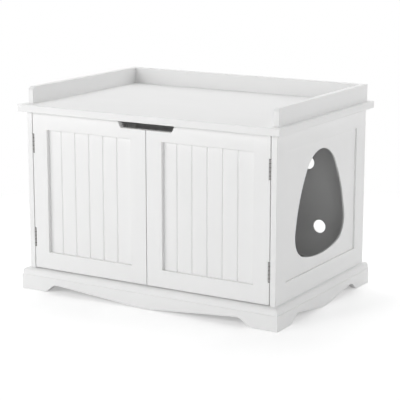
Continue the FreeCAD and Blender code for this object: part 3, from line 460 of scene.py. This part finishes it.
def measure_screw(points):
    """A screw's way in, the middle of its head's face, and its length, radii and head height."""
    low, high = points.min(axis=0), points.max(axis=0)
    axis = int(np.argmax(high - low))
    middle = (low + high) / 2
    off = np.linalg.norm(np.delete(points - middle, axis, axis=1), axis=1)
    head_radius = off.max()
    at_rim = points[off > AT_RIM * head_radius][:, axis].mean()
    way = 1.0 if at_rim < middle[axis] else -1.0
    depth = (points[:, axis] - at_rim) * way
    length = high[axis] - low[axis]
    shank_radius = off[depth > AT_TIP * length].max()
    head_height = depth[off < AT_SHANK * shank_radius].min()
    face = middle.copy()
    face[axis] = at_rim
    direction = np.zeros(3)
    direction[axis] = way
    return direction, face, length, head_radius, shank_radius, head_height


def slot_edge(angle, arm):
    """How far a cross recess goes at an angle round the head."""
    apart = abs((angle + math.pi / 4) % (math.pi / 2) - math.pi / 4)
    if apart <= SLOT_ANGLE + ANGLE_SLACK:
        return arm / math.cos(apart)
    return arm * math.tan(SLOT_ANGLE) / math.sin(apart)


def screw_rings(length, head_radius, shank_radius, head_height):
    """Every ring of a cross-head screw: (depth, radius) for each side, from the face to the tip."""
    turns = [2 * math.pi * side / SCREW_SIDES for side in range(SCREW_SIDES)]
    arm = SLOT_REACH * head_radius
    floor = SLOT_DEPTH * head_height
    rim = HEAD_RIM * head_radius
    rings = [
        [(floor, SLOT_FLOOR * slot_edge(turn, arm)) for turn in turns],
        [(0.0, slot_edge(turn, arm)) for turn in turns],
        [(0.0, head_radius - rim)] * SCREW_SIDES,
        [(rim, head_radius)] * SCREW_SIDES,
        [(head_height, shank_radius)] * SCREW_SIDES,
    ]
    thread_start = max(PLAIN_SHANK * length, PLAIN_NECK * head_height)
    tip = length - POINT_LENGTH * shank_radius
    pitch = THREAD_PITCH * shank_radius
    rings.append([(thread_start, shank_radius)] * SCREW_SIDES)
    count = math.ceil((tip - thread_start) / pitch * THREAD_STEPS)
    for step in range(1, count + 1):
        depth = thread_start + (tip - thread_start) * step / count
        ring = []
        for side in range(SCREW_SIDES):
            phase = (depth / pitch + side / SCREW_SIDES) % 1.0
            ring.append((depth, shank_radius * (1 - THREAD_DEPTH * 2 * abs(phase - 0.5))))
        rings.append(ring)
    point = POINT_RADIUS * shank_radius
    rings.append([(length - point, point)] * SCREW_SIDES)
    return rings


def add_screw(mesh, points):
    """Add a countersunk cross-head wood screw in place of a plain one."""
    direction, face, length, head_radius, shank_radius, head_height = measure_screw(points)
    turn = Vector((0, 0, 1)).rotation_difference(Vector(direction))
    place = Matrix.Translation(Vector(face)) @ turn.to_matrix().to_4x4()
    rows = []
    for ring in screw_rings(length, head_radius, shank_radius, head_height):
        row = []
        for side, (depth, radius) in enumerate(ring):
            angle = 2 * math.pi * side / SCREW_SIDES
            point = Vector((radius * math.cos(angle), radius * math.sin(angle), depth))
            row.append(mesh.verts.new(place @ point))
        rows.append(row)
    for upper, lower in zip(rows, rows[1:]):
        for side in range(SCREW_SIDES):
            after = (side + 1) % SCREW_SIDES
            mesh.faces.new((upper[side], upper[after], lower[after], lower[side]))
    for row, depth, order in ((rows[0], SLOT_DEPTH * head_height, -1), (rows[-1], length, 1)):
        middle = mesh.verts.new(place @ Vector((0, 0, depth)))
        for side in range(SCREW_SIDES):
            corners = (row[side], row[(side + 1) % SCREW_SIDES], middle)
            mesh.faces.new(corners[::order])


def cut_screws(node):
    """Stand for a node of plain screws with modelled ones."""
    mesh = bmesh.new()
    for points in islands(clean[node]):
        add_screw(mesh, points)
    stand_for(node, mesh, "_cut")


EASES = {
    "white_paint": 0.8 * MM,
    "hinge_steel": 0.15 * MM,
    "bright_steel": 0.2 * MM,
    "catch_plastic": 0.6 * MM,
    "cam_zinc": 0.3 * MM,
    "magnet": 0.4 * MM,
    "bare_pine": 0.5 * MM,
    "dowel_wood": 0.5 * MM,
}
for node in sorted(nodes):
    if node.endswith(("_screw", "_screws")):
        cut_screws(node)
    else:
        ease(node, EASES[slot_of_node[node]])

# ---------------------------------------------------------------- stage

CENTRE = Vector((0, 0, 0.26))
FLOOR_SIZE = 30.0
FLOOR_GLOW = 0.35
FLOOR_FADE = (0.5, 1.3)
FLOOR_BOUNCE = 0.95
FLOOR_SEEN = 0.9
FLOOR_ROUGHNESS = 0.9
FLOOR_SPECULAR = 0.1
WHITE = (1.0, 1.0, 1.0, 1.0)
AMBIENT = 0.25
LIGHTS = (  # name, direction from the object, distance, width, watts
    ("key_light", (-0.8, -2.2, 1.0), 4.0, 0.9, 27.0),
    ("front_light", (-0.8, -1.0, 0.15), 4.0, 3.0, 66.5),
    ("fill_light", (0.55, -0.85, 0.25), 4.0, 1.5, 13.2),
    ("right_light", (1.0, 0.4, 0.35), 3.5, 2.0, 31.6),
    ("top_light", (-0.3, 0.4, 1.0), 3.5, 2.5, 50.0),
    ("back_light", (0.0, 1.0, 0.6), 4.0, 2.5, 26.8),
)


def mix_shaders(tree, share, first, second):
    """A shader that turns from the first into the second as the share goes from 0 to 1."""
    mix = add(tree, "MixShader", {"Fac": share})
    tree.links.new(first.outputs[0], mix.inputs[1])
    tree.links.new(second.outputs[0], mix.inputs[2])
    return mix


def seen_directly(tree):
    """1 for rays from the camera, off a mirror or through glass, 0 for the rest."""
    rays = add(tree, "LightPath").outputs
    direct = rays["Is Camera Ray"]
    for kind in ("Is Glossy Ray", "Is Transmission Ray"):
        either = add(tree, "Math", operation="MAXIMUM")
        tree.links.new(direct, either.inputs[0])
        tree.links.new(rays[kind], either.inputs[1])
        direct = either.outputs[0]
    return direct


def plain_world():
    """Even light from all round. The camera, mirrors and glass see plain white."""
    world = bpy.data.worlds.new("studio")
    bpy.context.scene.world = world
    world.use_nodes = True
    tree = world.node_tree
    light = tree.nodes["Background"]
    light.inputs["Color"].default_value = WHITE
    light.inputs["Strength"].default_value = AMBIENT
    white = add(tree, "Background", {"Color": WHITE, "Strength": 1.0})
    mix = mix_shaders(tree, seen_directly(tree), light, white)
    tree.links.new(mix.outputs[0], tree.nodes["World Output"].inputs["Surface"])


def make_floor():
    """A plain pale floor that looks white and keeps the object's shadow."""
    mesh = bmesh.new()
    bmesh.ops.create_grid(mesh, x_segments=2, y_segments=2, size=FLOOR_SIZE / 2)
    data = bpy.data.meshes.new("floor")
    mesh.to_mesh(data)
    mesh.free()
    floor = bpy.data.objects.new("floor", data)
    bpy.context.scene.collection.objects.link(floor)
    material, tree, surface = new_material("floor")
    surface.inputs["Base Color"].default_value = (*[FLOOR_BOUNCE] * 3, 1)
    surface.inputs["Roughness"].default_value = FLOOR_ROUGHNESS
    surface.inputs["Specular IOR Level"].default_value = FLOOR_SPECULAR
    shaded = add(tree, "BsdfDiffuse", {"Color": (*[FLOOR_SEEN] * 3, 1)})
    glow = add(tree, "Emission", {"Color": WHITE, "Strength": FLOOR_GLOW})
    near = add(tree, "AddShader")
    tree.links.new(shaded.outputs[0], near.inputs[0])
    tree.links.new(glow.outputs[0], near.inputs[1])
    far = add(tree, "Emission", {"Color": WHITE, "Strength": 1.0})
    place = add(tree, "TexCoord").outputs["Object"]
    away = add(tree, "VectorMath", {"Vector": place}, operation="LENGTH").outputs["Value"]
    fade = between(tree, away, 0.0, 1.0, *FLOOR_FADE)
    white = mix_shaders(tree, fade, near, far)
    mix = mix_shaders(tree, seen_directly(tree), surface, white)
    tree.links.new(mix.outputs[0], tree.nodes["Material Output"].inputs["Surface"])
    data.materials.append(material)


def softbox(name, direction, distance, size, power):
    """A square soft light that hangs in a direction from the object and faces it."""
    data = bpy.data.lights.new(name, "AREA")
    data.shape = "SQUARE"
    data.size = size
    data.energy = power
    light = bpy.data.objects.new(name, data)
    bpy.context.scene.collection.objects.link(light)
    way = Vector(direction).normalized()
    light.location = CENTRE + way * distance
    light.rotation_euler = way.to_track_quat("Z", "Y").to_euler()
    light.visible_camera = False


CAMERA_PLACE = (1.8427, -3.0574, 1.0059)
CAMERA_TURN = math.radians(30.959)
CAMERA_PITCH = math.radians(12.303)
CAMERA_LENS = 127.05
SENSOR_WIDTH = 36.0


def make_camera():
    """The photograph's view."""
    data = bpy.data.cameras.new("camera")
    data.sensor_width = SENSOR_WIDTH
    data.lens = CAMERA_LENS
    camera = bpy.data.objects.new("camera", data)
    bpy.context.scene.collection.objects.link(camera)
    camera.location = CAMERA_PLACE
    camera.rotation_euler = (math.pi / 2 - CAMERA_PITCH, 0, CAMERA_TURN)
    bpy.context.scene.camera = camera


plain_world()
make_floor()
for light in LIGHTS:
    softbox(*light)
make_camera()
bpy.context.scene.view_settings.view_transform = "Standard"
